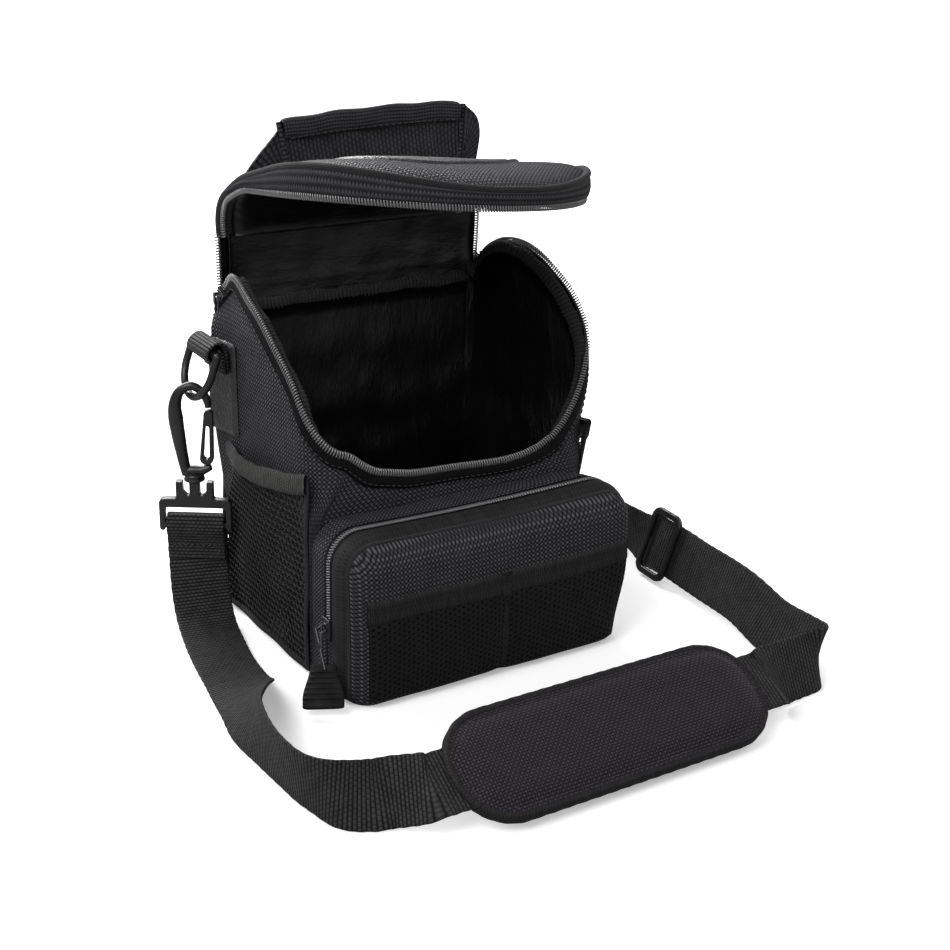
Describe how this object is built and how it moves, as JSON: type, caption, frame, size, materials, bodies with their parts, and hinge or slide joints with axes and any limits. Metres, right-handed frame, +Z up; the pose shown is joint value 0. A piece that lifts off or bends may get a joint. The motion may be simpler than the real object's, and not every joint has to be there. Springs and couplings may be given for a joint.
{
  "type": "camera bag",
  "caption": "Small padded camera bag with a zip-round hood lid, front zip pocket, mesh side pockets, top handle and hooked shoulder strap.",
  "frame": {"origin": "centre of the flat base of the bag body, on the floor", "axes": "+X to the right seen from the front, +Y to the back (the zip pocket faces -Y), +Z up"},
  "size_m": [0.2929, 0.2804, 0.2602],
  "materials": {
    "ballistic": "coarse woven nylon, matt",
    "knit": "fine knit, matt",
    "mesh": "open mesh",
    "elastic": "ribbed elastic",
    "foam": "closed-cell foam",
    "lining": "thin nylon, slight sheen",
    "zip": "coil zip",
    "board": "stiffener board",
    "insert": "smooth synthetic leather",
    "webbing": "ribbed webbing",
    "hardware": "satin moulded plastic",
    "metal": "black lacquered",
    "grip": "ribbed rubber",
    "pad": "brushed fabric"
  },
  "bodies": {
    "bag_body": {"side_panels": "ballistic", "front_panel": "ballistic", "back_panel": "ballistic", "wall_foam": "foam", "body_lining": "lining", "rim_zip": "zip", "rim_binding": "knit", "base_panel": "ballistic", "base_board": "board", "pocket_gusset": "ballistic", "pocket_zip_outer": "zip", "pocket_cover_lower": "ballistic", "pocket_mesh_lower": "mesh", "side_mesh_pockets": "mesh", "side_pocket_elastics": "elastic", "tab_loops": "webbing", "tab_patches": "insert", "hook_bases": "hardware", "strap_webbing": "webbing"},
    "lid_rear": {"flap_panel": "ballistic", "lid_top_rear": "ballistic", "lid_foam_rear": "foam", "lid_lining_rear": "lining", "lid_band_rear": "knit", "lid_zip_rear": "zip", "lid_piping_rear": "knit", "lid_insert_rear": "insert", "handle_feet": "webbing"},
    "lid_front": {"lid_top_front": "ballistic", "lid_foam_front": "foam", "lid_lining_front": "lining", "lid_band_front": "knit", "lid_zip_front": "zip", "lid_piping_front": "knit", "lid_insert_front": "insert"},
    "handle": {"handle_webbing": "webbing", "handle_sleeve": "knit"},
    "front_pocket_cover": {"pocket_cover": "ballistic", "pocket_lining": "lining", "pocket_zip_inner": "zip", "pocket_mesh_upper": "mesh", "pocket_elastic": "elastic"},
    "pocket_slider": {"pocket_slider": "metal"},
    "pocket_pull": {"pocket_pull_wire": "metal", "pocket_pull_grip": "grip"},
    "ring_left": {"d_ring_left": "hardware"},
    "ring_right": {"d_ring_right": "hardware"},
    "hook_left": {"hook_left": "hardware"},
    "hook_right": {"hook_right": "hardware"},
    "gate_left": {"hook_gate_left": "hardware"},
    "gate_right": {"hook_gate_right": "hardware"},
    "shoulder_pad": {"pad_face": "pad", "pad_back": "pad", "pad_binding": "knit"},
    "tri_glide": {"tri_glide": "hardware"},
    "zip_slider_left": {"zip_slider_left": "metal"},
    "zip_slider_right": {"zip_slider_right": "metal"},
    "zip_pull_left": {"zip_pull_left": "metal"},
    "zip_pull_right": {"zip_pull_right": "metal"}
  },
  "joints": [
    {"name": "lid_hinge", "type": "hinge", "parent": "bag_body", "child": "lid_rear", "pos_m": [0, 0.051, 0.167], "axis": [1, 0, 0], "range_deg": [-95, 40]},
    {"name": "lid_bend", "type": "hinge", "parent": "lid_rear", "child": "lid_front", "pos_m": [0, -0.01754, 0.21893], "axis": [1, 0, 0], "range_deg": [0, 37]},
    {"name": "handle_swing", "type": "hinge", "parent": "lid_rear", "child": "handle", "pos_m": [0, 0.0415, 0.2248], "axis": [1, 0, 0], "range_deg": [-8, 45]},
    {"name": "pocket_open", "type": "hinge", "parent": "bag_body", "child": "front_pocket_cover", "pos_m": [0, -0.088, 0.026], "axis": [1, 0, 0], "range_deg": [0, 50]},
    {"name": "pocket_slider_run", "type": "slide", "parent": "bag_body", "child": "pocket_slider", "axis": [0, 0, 1], "range_m": [0, 0.03]},
    {"name": "pocket_pull_swing", "type": "hinge", "parent": "pocket_slider", "child": "pocket_pull", "pos_m": [-0.0797, -0.068, 0.034], "axis": [0, 1, 0], "range_deg": [-8, 80]},
    {"name": "ring_swing_left", "type": "hinge", "parent": "bag_body", "child": "ring_left", "pos_m": [-0.09, 0.038, 0.1445], "axis": [0, 1, 0], "range_deg": [-2, 0.4]},
    {"name": "ring_swing_right", "type": "hinge", "parent": "bag_body", "child": "ring_right", "pos_m": [0.09, 0.038, 0.1445], "axis": [0, 1, 0], "range_deg": [-0.4, 2]},
    {"name": "hook_swivel_left", "type": "hinge", "parent": "bag_body", "child": "hook_left", "pos_m": [-0.098, 0.038, 0.076], "axis": [0, 0, 1], "range_deg": [-5, 45]},
    {"name": "hook_swivel_right", "type": "hinge", "parent": "bag_body", "child": "hook_right", "pos_m": [0.098, 0.038, 0.076], "axis": [0, 0, 1], "range_deg": [-45, 5]},
    {"name": "gate_open_left", "type": "hinge", "parent": "hook_left", "child": "gate_left", "pos_m": [-0.09112, 0.03353, 0.087], "axis": [-0.5446, -0.8387, 0], "range_deg": [0, 22]},
    {"name": "gate_open_right", "type": "hinge", "parent": "hook_right", "child": "gate_right", "pos_m": [0.10488, 0.04247, 0.087], "axis": [0.5446, -0.8387, 0], "range_deg": [0, 22]},
    {"name": "pad_slide", "type": "slide", "parent": "bag_body", "child": "shoulder_pad", "axis": [1, 0, 0], "range_m": [-0.004, 0.004]},
    {"name": "strap_adjust", "type": "slide", "parent": "bag_body", "child": "tri_glide", "axis": [0.0748, 0.9972, 0], "range_m": [-0.025, 0.002]},
    {"name": "zip_run_left", "type": "slide", "parent": "bag_body", "child": "zip_slider_left", "axis": [0, -0.6402, 0.7682], "range_m": [0, 0.012]},
    {"name": "zip_run_right", "type": "slide", "parent": "bag_body", "child": "zip_slider_right", "axis": [0, -0.6402, 0.7682], "range_m": [0, 0.012]},
    {"name": "zip_pull_swing_left", "type": "hinge", "parent": "zip_slider_left", "child": "zip_pull_left", "pos_m": [-0.0797, 0.0446, 0.168], "axis": [0, 1, 0], "range_deg": [0, 110]},
    {"name": "zip_pull_swing_right", "type": "hinge", "parent": "zip_slider_right", "child": "zip_pull_right", "pos_m": [0.0797, 0.0446, 0.168], "axis": [0, 1, 0], "range_deg": [-110, 0]}
  ]
}
